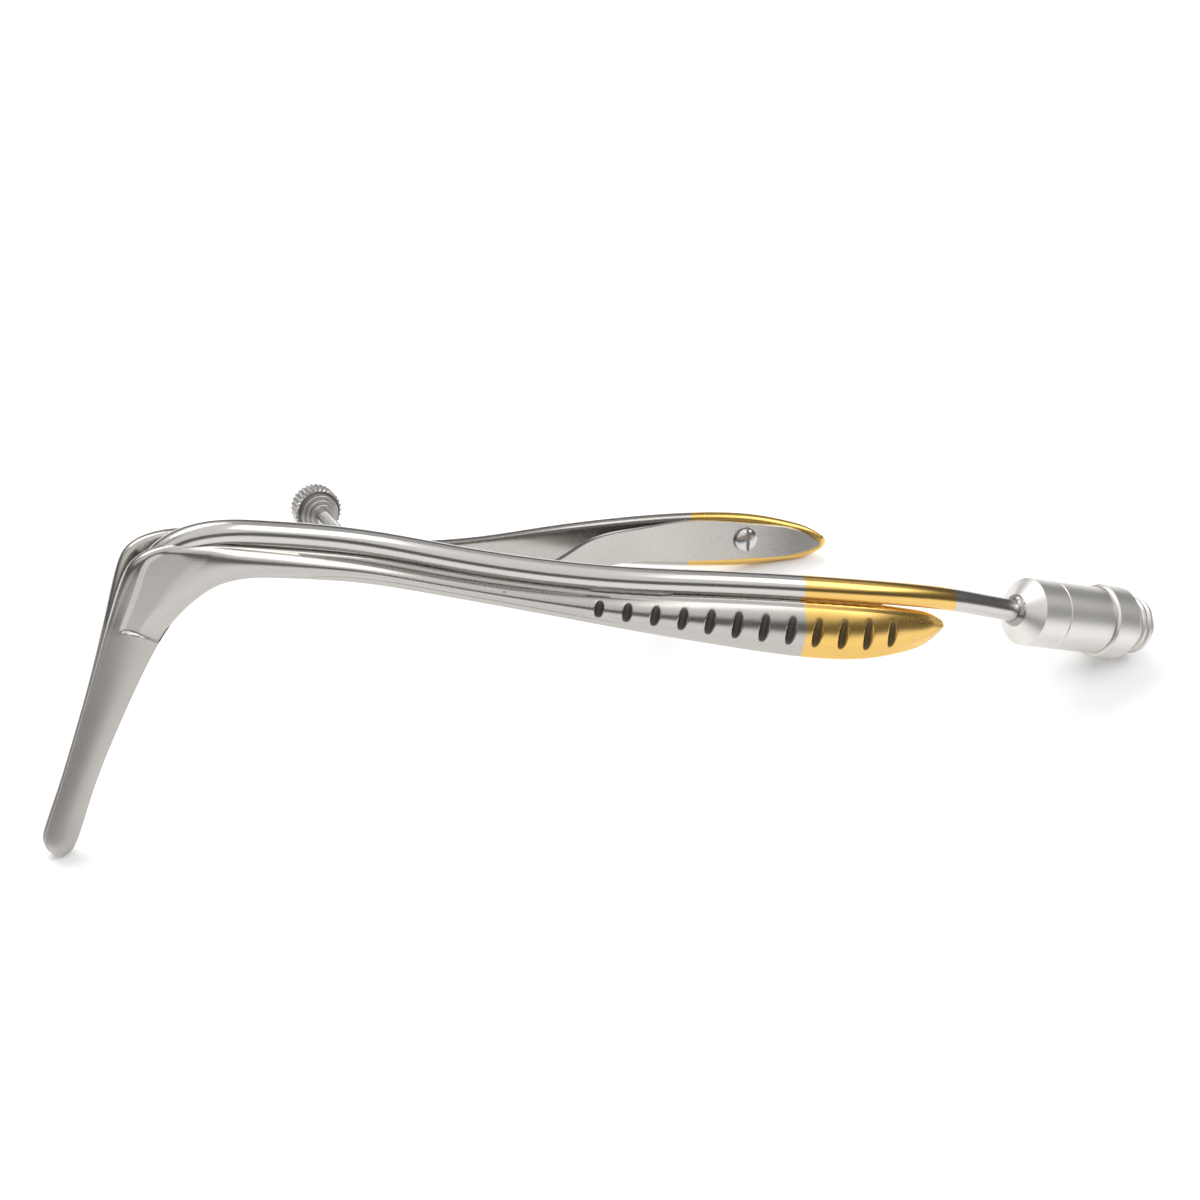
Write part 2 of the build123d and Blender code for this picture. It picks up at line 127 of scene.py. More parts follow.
def section_points(rib):
    """The closed outline of one rib in space."""
    lower_x, lower_z, upper_x, upper_z, inner, thickness, edge = rib
    across = Vector((upper_x - lower_x, 0, upper_z - lower_z))
    middle = Vector(((lower_x + upper_x) / 2, inner, (lower_z + upper_z) / 2))
    reach = across.length / 2
    flat = reach - edge / 2
    outline = [(-flat + 2 * flat * i / FLAT_STEPS, 0.0) for i in range(FLAT_STEPS)]
    for i in range(EDGE_STEPS):
        angle = pi * i / EDGE_STEPS - pi / 2
        outline.append((flat + edge / 2 * cos(angle), edge / 2 + edge / 2 * sin(angle)))
    for i in range(BULGE_STEPS):
        place = 1 - 2 * i / BULGE_STEPS
        outline.append((flat * place, edge + (thickness - edge) * (1 - place ** 2)))
    for i in range(EDGE_STEPS):
        angle = pi * i / EDGE_STEPS + pi / 2
        outline.append((-flat + edge / 2 * cos(angle), edge / 2 + edge / 2 * sin(angle)))
    along_rib = across.normalized()
    return [middle + along_rib * u + Vector((0, v, 0)) for u, v in outline]


def chord_lengths(points):
    """Distances along a run of points, from its first."""
    steps = [(Vector(b) - Vector(a)).length for a, b in zip(points, points[1:])]
    return np.concatenate(([0.0], np.cumsum(steps)))


def natural_spline(stations, values, samples):
    """Smooth curve through values at the stations, read at the samples."""
    stations = np.asarray(stations, float)
    values = np.asarray(values, float)
    count = len(stations)
    gaps = np.diff(stations)
    system = np.eye(count)
    slopes = np.zeros_like(values)
    for i in range(1, count - 1):
        system[i, i - 1] = gaps[i - 1]
        system[i, i] = 2 * (gaps[i - 1] + gaps[i])
        system[i, i + 1] = gaps[i]
        slopes[i] = 6 * ((values[i + 1] - values[i]) / gaps[i] - (values[i] - values[i - 1]) / gaps[i - 1])
    bends = np.linalg.solve(system, slopes.reshape(count, -1)).reshape(values.shape)
    samples = np.asarray(samples, float)
    cell = np.clip(np.searchsorted(stations, samples) - 1, 0, count - 2)
    gap = gaps[cell]
    low = (stations[cell + 1] - samples) / gap
    high = (samples - stations[cell]) / gap
    shape = (-1,) + (1,) * (values.ndim - 1)
    low, high, gap = low.reshape(shape), high.reshape(shape), gap.reshape(shape)
    return (low * values[cell] + high * values[cell + 1]
            + ((low ** 3 - low) * bends[cell] + (high ** 3 - high) * bends[cell + 1]) * gap ** 2 / 6)


groove_stations = chord_lengths(GROOVE_LINE)
groove_marks = np.linspace(0, groove_stations[-1], GROOVE_COUNT)
groove_centres = natural_spline(groove_stations, GROOVE_LINE, groove_marks)
groove_nexts = natural_spline(groove_stations, GROOVE_LINE, groove_marks + 0.01)
grooves = []
for centre, following in zip(groove_centres, groove_nexts):
    along = Vector(following - centre).normalized()
    outward = Vector((-along.y, along.x, 0)).normalized()
    grooves.append((Vector(centre) + outward * (GROOVE_WHEEL - GROOVE_DEPTH), along))


def wheel_reach(axial):
    """The groove wheel's radius at a distance from its middle plane."""
    return GROOVE_WHEEL - GROOVE_DEPTH * np.abs(2 * axial / GROOVE_WIDTH) ** 2.6


def press_grooves(points):
    """Points of the far half, pushed out of the groove wheels with a slightly rounded rim."""
    for wheel_centre, along in grooves:
        away = points - np.array(wheel_centre)
        axial = away @ np.array(along)
        radial = away - np.outer(axial, along)
        distance = np.linalg.norm(radial, axis=1)
        reach = wheel_reach(axial)
        near = (np.abs(axial) < GROOVE_WIDTH * 0.75) & (distance < GROOVE_WHEEL + 1.0)
        rounded = 0.5 * (distance + reach + np.sqrt((distance - reach) ** 2 + 0.012))
        pushed = np.where(near, np.maximum(distance, rounded) - distance, 0.0)
        fade = np.clip((GROOVE_WHEEL + 0.5 - distance) / 0.5, 0, 1)
        points = points + radial / distance[:, None] * (pushed * fade)[:, None]
    return points


def groove_mask_of(mesh, side):
    """Marks how deep each vertex lies in a groove, from 0 to 1, as the attribute groove."""
    points = np.empty(len(mesh.vertices) * 3, np.float32)
    mesh.vertices.foreach_get("co", points)
    points = points.reshape(-1, 3) * np.array((1, side, 1))
    mask = np.zeros(len(points))
    for wheel_centre, along in grooves:
        away = points - np.array(wheel_centre)
        axial = away @ np.array(along)
        distance = np.linalg.norm(away - np.outer(axial, along), axis=1)
        close = np.clip(1 - (distance - wheel_reach(axial)) / 0.12, 0, 1)
        inside = np.clip((GROOVE_WIDTH / 2 - np.abs(axial)) / 0.22, 0, 1)
        mask = np.maximum(mask, close * inside)
    stored = mesh.attributes.new("groove", "FLOAT", "POINT")
    stored.data.foreach_set("value", mask.astype(np.float32))


def curve_outline(points, count):
    """A smooth run through (x, z) points."""
    flat = [(x, 0.0, z) for x, z in points]
    stations = chord_lengths(flat)
    run = natural_spline(stations, flat, np.linspace(0, stations[-1], count))
    return [(float(x), float(z)) for x, y, z in run]


# The light tube's route is needed here, because the light half has a seat for the tube's front
TUBE_ROUTE = [
    (3.0, -1.6, -3.2),
    (5.0, -1.9, -0.6),
    (8.0, -2.75, 1.75),
    (12.5, -3.8, 3.45),
    (20.0, -4.0, 4.0),
    (39.0, -4.45, 3.62),
    (52.0, -7.85, 3.15),
    (66.0, -12.9, 3.4),
    (80.0, -17.8, 4.5),
    (95.0, -21.4, 5.95),
    (109.0, -24.1, 7.0),
    (124.0, -25.6, 7.4),
    (141.0, -24.2, 6.4),
]
CONNECTOR_WAY = Vector((31.4, 4.2, -2.9)).normalized()
TUBE_RADIUS, TUBE_BORE, TIP_LENGTH, TUBE_IN_BASE = 2.03, 1.5, 2.5, 4.0
CONNECTOR = Vector((155.4, -21.9, 4.45))
route = TUBE_ROUTE + [tuple(CONNECTOR), tuple(CONNECTOR + CONNECTOR_WAY * TUBE_IN_BASE)]
route_stations = chord_lengths(route)
tube_line = natural_spline(route_stations, route, np.linspace(0, route_stations[-1], 420))

# Scoop in the outside of the blade root: a crease behind the rounded nose and a ledge over the blade
CREASE = [(-1.12, -15.32), (-0.63, -12.35), (-0.13, -9.55), (0.42, -5.13), (1.23, -1.9),
          (3.13, -0.09), (5.5, 2.4)]
LEDGE = [(9.5, -19.0), (6.5, -17.3), (4.7, -16.43), (3.73, -16.0), (2.1, -15.47), (0.43, -15.2),
         (-1.12, -15.32)]
CREASE_RAMP, LEDGE_RAMP = 0.9, 0.4
SCOOP_REAR, SCOOP_TOP, SCOOP_FOOT, SCOOP_SIDE = 24.0, 2.4, -19.0, 1.2
# The scoop's floor is a plane: y at one place, its rise per mm backward and its rise per mm up
FLOOR_PLACE, FLOOR_Y, FLOOR_BACK_RISE, FLOOR_UP_RISE = (-0.4, -8.0), 3.05, 0.15, 0.11
crease = np.array(curve_outline(CREASE, 600))
ledge = np.array(curve_outline(LEDGE, 400))
rear_side = [(SCOOP_REAR, SCOOP_TOP), (SCOOP_REAR, SCOOP_FOOT)]
scoop_outline = np.concatenate((crease, rear_side, ledge[:-1]))


def nearest_on(line, x, z):
    """The nearest places of a line and their distances."""
    squares = (x[:, None] - line[:, 0]) ** 2 + (z[:, None] - line[:, 1]) ** 2
    nearest = squares.argmin(axis=1)
    return line[nearest], np.sqrt(squares.min(axis=1))


def snap_to_ledge(grid):
    """Slides points close to the ledge onto it, and returns which points are near the scoop."""
    least_area, reach, longest = 0.012, 0.1, 0.16
    x, y, z = grid[..., 0], grid[..., 1], grid[..., 2]
    down, across = np.gradient(grid, axis=0), np.gradient(grid, axis=1)
    area = down[..., 0] * across[..., 2] - down[..., 2] * across[..., 0]
    near = (x < SCOOP_REAR) & (z > SCOOP_FOOT) & (y > SCOOP_SIDE) & (np.abs(area) > least_area)
    places, away = nearest_on(ledge, x[near], z[near])
    moved, area, down, across = grid[near], area[near], down[near], across[near]
    shift_x, shift_z = places[:, 0] - moved[:, 0], places[:, 1] - moved[:, 1]
    share_down = (shift_x * across[:, 2] - shift_z * across[:, 0]) / area
    share_across = (shift_z * down[:, 0] - shift_x * down[:, 2]) / area
    steps = share_down[:, None] * down + share_across[:, None] * across
    close = (away < reach) & (np.linalg.norm(steps, axis=1) < longest)
    moved[close] += steps[close]
    grid[near] = moved
    return near


def inside_scoop(x, z):
    """Whether places lie inside the scoop's outline, from how often a line to them crosses it."""
    inside = np.zeros(len(x), bool)
    for (x0, z0), (x1, z1) in zip(scoop_outline, np.roll(scoop_outline, -1, axis=0)):
        if z0 != z1:
            inside ^= ((z0 > z) != (z1 > z)) & (x < x0 + (z - z0) * (x1 - x0) / (z1 - z0))
    return inside


def press_scoop(grid):
    """Rows of the far half with the scoop sunk in: a ramp at its crease and a soft run-out behind."""
    near = snap_to_ledge(grid)
    x, y, z = grid[near].T
    to_crease, to_ledge = nearest_on(crease, x, z)[1], nearest_on(ledge, x, z)[1]
    floor_y = FLOOR_Y + FLOOR_BACK_RISE * (x - FLOOR_PLACE[0]) + FLOOR_UP_RISE * (z - FLOOR_PLACE[1])
    low = np.clip((-9.5 - z) / 5, 0, 1)
    floor_y += low * (np.minimum(floor_y, y - 0.34) - floor_y)
    soft = 0.15 + 0.75 * np.clip((to_crease - 2.5) / 4, 0, 1)
    share = np.clip(0.5 + 0.5 * (y - floor_y) / soft, 0, 1)
    depth = (y - floor_y) * share + soft * share * (1 - share)
    up_crease = np.clip(to_crease / CREASE_RAMP, 0, 1)
    ramps = up_crease ** 2 * (3 - 2 * up_crease) * (1 - np.clip(1 - to_ledge / LEDGE_RAMP, 0, 1) ** 2)
    sunk = grid[near]
    sunk[:, 1] -= np.where(inside_scoop(x, z), depth * ramps, 0.0)
    grid[near] = sunk
    return grid


def finished_mesh(work, name):
    """The mesh of a bmesh, with every face turned outwards."""
    bmesh.ops.recalc_face_normals(work, faces=work.faces)
    mesh = bpy.data.meshes.new(name)
    work.to_mesh(mesh)
    work.free()
    return mesh


def close_ends(work):
    """Fills the open ends of a skin."""
    rims = [edge for edge in work.edges if edge.is_boundary]
    bmesh.ops.holes_fill(work, edges=rims, sides=0)


JOIN_DISTANCE = 1e-5


def rolled_mesh(name, rows):
    """A closed skin through rows of points: a grid is rolled up, joined and filled at its ends."""
    ring = len(rows[0])
    work = bmesh.new()
    bmesh.ops.create_grid(work, x_segments=ring, y_segments=len(rows) - 1)
    places = (row[j % ring] for row in rows for j in range(ring + 1))
    for vertex, place in zip(work.verts, places):
        vertex.co = place
    bmesh.ops.remove_doubles(work, verts=work.verts, dist=JOIN_DISTANCE)
    close_ends(work)
    return finished_mesh(work, name)


def forging_mesh(name, side):
    """The skin of one half before its joint and seats are cut."""
    sections = np.array([section_points(rib) for rib in RIBS])
    stations = chord_lengths([tuple(row) for row in sections.mean(axis=1)])
    middles = sections.mean(axis=1)[:, 0]
    samples = [0.0]
    for i in range(len(stations) - 1):
        gap = stations[i + 1] - stations[i]
        row_gap = ROW_GAP
        if ROOT_FIRST_RIB <= i <= ROOT_LAST_RIB:
            row_gap = ROOT_ROW_GAP
        if middles[i + 1] > GROOVED_START and middles[i] < GROOVED_END:
            row_gap = GROOVED_ROW_GAP
        count = int(np.ceil(gap / row_gap))
        samples += list(stations[i] + gap * np.arange(1, count + 1) / count)
    grid = natural_spline(stations, sections, samples)
    last, middle = grid[-1], grid[-1].mean(axis=0)
    onward = middle - grid[-2].mean(axis=0)
    onward /= np.linalg.norm(onward)
    cap = [middle + (last - middle) * (1 - way) ** 0.6 + onward * TIP_ROUND * way for way in TIP_ROWS]
    grid = np.concatenate((grid, cap))
    pressed = press_grooves(press_scoop(grid).reshape(-1, 3)) * np.array((1, side, 1))
    return rolled_mesh(name, pressed.reshape(grid.shape))


# Levels of the pivot's ears and tongue, and the place of the set screw
EAR_LOW, EAR_HIGH, EAR_THICKNESS, KNUCKLE_GAP = -3.4, 0.5, 1.1, 0.3
KNUCKLE_RADIUS, ROOT_FRONT, ROOT_REAR, PIVOT_RADIUS, CLEARANCE = 3.6, 4.9, 7.6, 1.5, 0.03
SET_SCREW = Vector((38.8, 0.0, -0.45))
SPINDLE_RADIUS = 1.3


def turned_mesh(name, origin, axis, profile, ring=96, rim=None):
    """A lathed piece: (height, radius) points spun about an axis; rim(angle, radius) cuts knurls."""
    origin, axis = Vector(origin), Vector(axis).normalized()
    across = axis.orthogonal().normalized()
    other = axis.cross(across)
    work = bmesh.new()
    closed = profile[0] == profile[-1]
    points = profile[:-1] if closed else profile
    line = [work.verts.new(origin + axis * height + across * radius) for height, radius in points]
    pairs = list(zip(line, line[1:])) + ([(line[-1], line[0])] if closed else [])
    edges = [work.edges.new(pair) for pair in pairs]
    bmesh.ops.spin(work, geom=line + edges, cent=origin, axis=axis, angle=2 * pi, steps=ring, use_merge=True)
    bmesh.ops.remove_doubles(work, verts=work.verts, dist=JOIN_DISTANCE)
    if rim:
        for vertex in work.verts:
            away = vertex.co - origin
            radial = away - axis * away.dot(axis)
            angle = atan2(radial.dot(other), radial.dot(across))
            vertex.co += radial.normalized() * rim(angle, radial.length)
    close_ends(work)
    return finished_mesh(work, name)


def rod(origin, axis, start, end, radius):
    """A plain round bar for cutting."""
    return turned_mesh("rod", origin, axis, [(start, radius), (end, radius)], 64)


def bent_tube(name, path, radius, ring, swell=lambda place: 1.0):
    """A closed round tube along a path; swell is the share of its radius at a place from 0 to 1."""
    curve = bpy.data.curves.new(name, "CURVE")
    curve.dimensions = "3D"
    curve.fill_mode = "FULL"
    curve.bevel_depth = radius
    curve.bevel_resolution = ring // 2 - 2
    line = curve.splines.new("POLY")
    line.points.add(len(path) - 1)
    for i, (knot, place) in enumerate(zip(line.points, path)):
        knot.co = (*place, 1.0)
        knot.radius = swell(i / (len(path) - 1))
    holder = bpy.data.objects.new(name, curve)
    bpy.context.scene.collection.objects.link(holder)
    bpy.context.view_layer.update()
    graph = bpy.context.evaluated_depsgraph_get()
    mesh = bpy.data.meshes.new_from_object(holder.evaluated_get(graph), depsgraph=graph)
    bpy.data.objects.remove(holder)
    work = bmesh.new()
    work.from_mesh(mesh)
    close_ends(work)
    return finished_mesh(work, name)


def knuckle(side, low, high):
    """A flat ear round the pivot, between two levels, with a root that reaches into its half."""
    turns = np.linspace(0, pi, 41)
    outline = [(PIVOT.x + KNUCKLE_RADIUS * cos(angle), -KNUCKLE_RADIUS * sin(angle)) for angle in turns]
    outline += [(PIVOT.x - KNUCKLE_RADIUS, ROOT_FRONT), (PIVOT.x + KNUCKLE_RADIUS, ROOT_REAR)]
    work = bmesh.new()
    base = work.faces.new([work.verts.new((x, y * side, low)) for x, y in outline])
    raised = bmesh.ops.extrude_face_region(work, geom=[base])["geom"]
    corners = [part for part in raised if isinstance(part, bmesh.types.BMVert)]
    bmesh.ops.translate(work, verts=corners, vec=(0, 0, high - low))
    return finished_mesh(work, "knuckle")


PIT_RADIUS = 0.26
PITS = ((57.17, -10.76, -0.5), (60.63, -12.5, -0.95))


def pit(centre):
    """A tiny ball for pitting a surface."""
    work = bmesh.new()
    bmesh.ops.create_icosphere(work, subdivisions=3, radius=PIT_RADIUS, matrix=Matrix.Translation(centre))
    return finished_mesh(work, "pit")


def boolean(mesh, tool_mesh, operation):
    """The mesh joined with, or cut by, a closed tool mesh."""
    holder = bpy.data.objects.new("holder", mesh)
    tool = bpy.data.objects.new("tool", tool_mesh)
    for thing in (holder, tool):
        bpy.context.scene.collection.objects.link(thing)
    change = holder.modifiers.new("change", "BOOLEAN")
    change.operation = operation
    change.solver = "EXACT"
    change.object = tool
    bpy.context.view_layer.update()
    graph = bpy.context.evaluated_depsgraph_get()
    result = bpy.data.meshes.new_from_object(holder.evaluated_get(graph), depsgraph=graph)
    result.name = mesh.name
    bpy.data.objects.remove(holder)
    bpy.data.objects.remove(tool)
    return result


# Surface effects are node groups with named sockets. They read the attribute place, which is a
# piece's rest position in instrument millimetres.
def node_group(name, inputs, outputs):
    """An empty shader group; inputs are (name, default) and outputs are names of values."""
    group = bpy.data.node_groups.new(name, "ShaderNodeTree")
    for title, default in inputs:
        socket = group.interface.new_socket(title, in_out="INPUT", socket_type="NodeSocketFloat")
        socket.default_value = default
    for title in outputs:
        group.interface.new_socket(title, in_out="OUTPUT", socket_type="NodeSocketFloat")
    return group, group.nodes.new("NodeGroupInput"), group.nodes.new("NodeGroupOutput")


def math_node(tree, operation, first, second=None, clamp=False):
    """A math node whose two values are sockets or numbers."""
    node = tree.nodes.new("ShaderNodeMath")
    node.operation = operation
    node.use_clamp = clamp
    for socket, value in zip(node.inputs, (first, second)):
        if isinstance(value, bpy.types.NodeSocket):
            tree.links.new(value, socket)
        elif value is not None:
            socket.default_value = value
    return node.outputs[0]


def place_of(tree, stretch=(1.0, 1.0, 1.0)):
    """The piece's rest position in instrument millimetres, stretched for a texture."""
    attribute = tree.nodes.new("ShaderNodeAttribute")
    attribute.attribute_name = "place"
    scaled = tree.nodes.new("ShaderNodeVectorMath")
    scaled.operation = "MULTIPLY"
    scaled.inputs[1].default_value = stretch
    tree.links.new(attribute.outputs["Vector"], scaled.inputs[0])
    return scaled.outputs[0]


def noise(tree, vector, scale, detail=3.0, roughness=0.5):
    """A noise texture's value in the given space."""
    texture = tree.nodes.new("ShaderNodeTexNoise")
    texture.inputs["Scale"].default_value = scale
    texture.inputs["Detail"].default_value = detail
    texture.inputs["Roughness"].default_value = roughness
    tree.links.new(vector, texture.inputs["Vector"])
    return texture.outputs["Fac"]


# Brushed polish: fine scratches along the instrument and clouds of duller metal
brushed, given, made = node_group(
    "brushed_polish", [("Smoothness", 0.2), ("Clouds", 0.08), ("Scratches", 0.05)], ["Roughness", "Height"])
clouds = noise(brushed, place_of(brushed, (0.05, 0.16, 0.16)), 1.0)
scratches = noise(brushed, place_of(brushed, (0.25, 6.0, 6.0)), 1.0, 4.0, 0.65)
total = given.outputs["Smoothness"]
for texture, share in ((clouds, "Clouds"), (scratches, "Scratches")):
    centred = math_node(brushed, "SUBTRACT", texture, 0.5)
    total = math_node(brushed, "ADD", total, math_node(brushed, "MULTIPLY", centred, given.outputs[share]))
brushed.links.new(math_node(brushed, "ADD", total, 0.0, True), made.inputs["Roughness"])
brushed.links.new(scratches, made.inputs["Height"])

# Band along the instrument: 1 between two distances along x, with slightly uneven ends
band_sockets = [("Start", 113.0), ("End", 400.0), ("Softness", 0.5)]
band, given, made = node_group("band_along", band_sockets, ["Inside"])
split_place = band.nodes.new("ShaderNodeSeparateXYZ")
band.links.new(place_of(band), split_place.inputs[0])
wander = math_node(band, "MULTIPLY", math_node(band, "SUBTRACT", noise(band, place_of(band), 0.7), 0.5), 0.9)
tilt = math_node(band, "MULTIPLY", split_place.outputs["Z"], 0.155)
along = math_node(band, "ADD", math_node(band, "ADD", split_place.outputs["X"], tilt), wander)
past_start = math_node(band, "SUBTRACT", along, given.outputs["Start"])
before_end = math_node(band, "SUBTRACT", given.outputs["End"], along)
softness = given.outputs["Softness"]
shares = [math_node(band, "DIVIDE", part, softness, True) for part in (past_start, before_end)]
band.links.new(math_node(band, "MULTIPLY", *shares), made.inputs["Inside"])

# Slope down the blade: 1 on the satin blade, 0 above its root
satin, given, made = node_group("satin_below", [("Level", -15.0), ("Softness", 2.0)], ["Inside"])
split_place = satin.nodes.new("ShaderNodeSeparateXYZ")
satin.links.new(place_of(satin), split_place.inputs[0])
below = math_node(satin, "SUBTRACT", given.outputs["Level"], split_place.outputs["Z"])
satin.links.new(math_node(satin, "DIVIDE", below, given.outputs["Softness"], True), made.inputs["Inside"])


def metal(name, colour, roughness, clouds=0.08, scratches=0.05, bump=0.02):
    """A metal with the brushed polish, as (material, its tree, its surface node)."""
    material = bpy.data.materials.new(name)
    material.use_nodes = True
    tree = material.node_tree
    surface = tree.nodes["Principled BSDF"]
    surface.inputs["Base Color"].default_value = (*colour, 1.0)
    surface.inputs["Metallic"].default_value = 1.0
    polish = tree.nodes.new("ShaderNodeGroup")
    polish.node_tree = brushed
    polish.inputs["Smoothness"].default_value = roughness
    polish.inputs["Clouds"].default_value = clouds
    polish.inputs["Scratches"].default_value = scratches
    tree.links.new(polish.outputs["Roughness"], surface.inputs["Roughness"])
    relief = tree.nodes.new("ShaderNodeBump")
    relief.inputs["Strength"].default_value = bump
    relief.inputs["Distance"].default_value = 0.0002
    tree.links.new(polish.outputs["Height"], relief.inputs["Height"])
    tree.links.new(relief.outputs["Normal"], surface.inputs["Normal"])
    return material, tree, surface


def mixed_colour(tree, factor, first, second):
    """Two colours mixed by a factor; each is a socket or a colour."""
    mix = tree.nodes.new("ShaderNodeMix")
    mix.data_type = "RGBA"
    colours = [socket for socket in mix.inputs if socket.type == "RGBA"]
    for socket, value in zip(colours, (first, second)):
        if isinstance(value, bpy.types.NodeSocket):
            tree.links.new(value, socket)
        else:
            socket.default_value = (*value, 1.0)
    tree.links.new(factor, mix.inputs["Factor"])
    return next(socket for socket in mix.outputs if socket.type == "RGBA")


def group_output(tree, group, values, output):
    """One output of a group with its inputs set."""
    node = tree.nodes.new("ShaderNodeGroup")
    node.node_tree = group
    for title, value in values.items():
        node.inputs[title].default_value = value
    return node.outputs[output]


steel_colour, gold_colour, groove_shade_colour = (0.48, 0.455, 0.43), (0.76, 0.495, 0.15), (0.045, 0.04, 0.035)

# Metal of the halves: polished steel, gilded at the rear, satin on the blade, with painted shade darkening
# the grooves
forged_metal, tree, surface = metal("forged_metal", steel_colour, 0.27)
gilded = group_output(tree, band, {"Start": 111.3, "End": 400.0, "Softness": 0.25}, "Inside")
satin_part = group_output(tree, satin, {"Level": -14.0, "Softness": 2.5}, "Inside")
groove_mask = tree.nodes.new("ShaderNodeAttribute")
groove_mask.attribute_name = "groove"
plated = mixed_colour(tree, gilded, steel_colour, gold_colour)
# Painted shade: the colour in the grooves is mixed towards near black, for the shade that falls inside them
groove_shade_share = math_node(tree, "MULTIPLY", groove_mask.outputs["Fac"], 0.9)
groove_shaded_colour = mixed_colour(tree, groove_shade_share, plated, groove_shade_colour)
tree.links.new(groove_shaded_colour, surface.inputs["Base Color"])
polish_roughness = surface.inputs["Roughness"].links[0].from_socket
satin_rough = math_node(tree, "MULTIPLY", satin_part, 0.2)
groove_rough = math_node(tree, "MULTIPLY", groove_mask.outputs["Fac"], 0.3)
rough_sum = math_node(tree, "ADD", math_node(tree, "ADD", polish_roughness, satin_rough), groove_rough, True)
tree.links.new(rough_sum, surface.inputs["Roughness"])


def finish(name, mesh, body, nodes, material, crease=32.0):
    """Places a mesh made in instrument millimetres and hands it to its body.

    A piece given a tuple as its body (two bodies and the places where a bend would start and end)
    is handed to no body: its placing is only baked into its mesh.
    """
    places = np.empty(len(mesh.vertices) * 3, np.float32)
    mesh.vertices.foreach_get("co", places)
    stored = mesh.attributes.new("place", "FLOAT_VECTOR", "POINT")
    stored.data.foreach_set("vector", places)
    mesh.transform(placing @ Matrix.Diagonal((MM, MM, MM, 1.0)))
    mesh.shade_smooth()
    mesh.set_sharp_from_angle(angle=radians(crease))
    piece = bpy.data.objects.new(name, mesh)
    bpy.context.scene.collection.objects.link(piece)
    mesh.materials.append(material)
    if type(body) is tuple:
        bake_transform(piece)
    else:
        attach(piece, body)
    if nodes:
        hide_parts(*nodes)
    return piece


def weigh_normals(piece):
    """Lets the large faces lead the shading, so that cuts leave no shadows beside them."""
    weighted = piece.modifiers.new("weighted", "WEIGHTED_NORMAL")
    weighted.keep_sharp = True
    weighted.weight = 80


# The seat of the tube's front opens towards the blade tip, so that the light gets out.
LIGHT_WAY = (-0.4, 0.35, -0.85)
for key, node in (("plain", "plain_half"), ("light", "light_half")):
    side = SIDES[key]
    if key == "plain":
        tongue_low = EAR_LOW + EAR_THICKNESS + KNUCKLE_GAP / 2
        tongue_high = EAR_HIGH - EAR_THICKNESS - KNUCKLE_GAP / 2
        added = [knuckle(side, tongue_low, tongue_high)]
        cut = [rod(PIVOT, (0, 0, 1), -9, 9, PIVOT_RADIUS + CLEARANCE),
               rod(SET_SCREW, (0, 1, 0), 0, 12, SPINDLE_RADIUS + CLEARANCE)]
    else:
        added = [knuckle(side, EAR_LOW, EAR_LOW + EAR_THICKNESS),
                 knuckle(side, EAR_HIGH - EAR_THICKNESS, EAR_HIGH)]
        seat_line = [tuple(point) for point in tube_line if point[0] < SCOOP_REAR]
        cut = [rod(PIVOT, (0, 0, 1), -9, 9, PIVOT_RADIUS),
               bent_tube("seat", seat_line, TUBE_RADIUS + CLEARANCE, 64),
               rod(tube_line[0], LIGHT_WAY, -1.0, 9.0, TUBE_BORE)]
        cut += [pit(centre) for centre in PITS]
    skin = forging_mesh(node + "_skin", side)
    for tool_mesh in added:
        skin = boolean(skin, tool_mesh, "UNION")
    for tool_mesh in cut:
        skin = boolean(skin, tool_mesh, "DIFFERENCE")
    groove_mask_of(skin, side)
    weigh_normals(finish(node + "_forging", skin, key, [node], forged_metal, crease=38))

# Leaf springs
# Each is a bent strip of spring steel, screwed against the inside of its handle and curving in to
# the middle at its free end. The two push the handles apart.
spring_metal = metal("spring_metal", (0.50, 0.482, 0.457), 0.28)[0]
SPRING_THICKNESS, SPRING_GAP, SPRING_ROUND, LEAST_HEIGHT = 0.8, 0.25, 0.12, 0.05
FREE_END, FREE_END_ROUND, FREE_END_HEIGHT = 67.9, 1.6, -0.2
FIXED_END, POINT_START, POINT_HEIGHT, POINT_RISE, POINT_DROP = 138.7, 134.5, 1.1, 2.0, 2.35
FREE_POINTS = [(98.4, 18.5), (93.2, 15.7), (87.9, 12.3), (82.7, 8.8), (77.0, 4.6), (72.5, 2.0), (68.0, 1.1)]
SPRING_UPPER = [(67.9, -0.2), (68.2, 0.8), (69.5, 1.4), (83.0, 2.1), (98.0, 2.9), (108.0, 3.7), (118.0, 3.9),
                (128.0, 3.75), (134.5, 3.1), (138.7, 1.1)]
SPRING_LOWER = [(67.9, -0.2), (68.2, -1.2), (69.5, -1.8), (83.0, -2.5), (98.0, -3.6), (108.0, -4.0),
                (118.0, -3.75), (128.0, -2.75), (134.5, -1.25), (138.7, 1.1)]
HANDLE_PART_START = 105
seated = [(rib[0], rib[4] - SPRING_GAP, 0.0) for rib in reversed(RIBS) if rib[0] > HANDLE_PART_START]
spring_line = seated + [(x, y, 0.0) for x, y in FREE_POINTS]


def spring_section(low, high):
    """One cross section of the strip as (depth, height) points, with softened edges."""
    thick, round_off = SPRING_THICKNESS, SPRING_ROUND
    soft, half = min(round_off, (high - low) / 3), (low + high) / 2
    return [(0, low + soft), (round_off, low), (thick - round_off, low), (thick, low + soft), (thick, half),
            (thick, high - soft), (thick - round_off, high), (round_off, high), (0, high - soft), (0, half)]


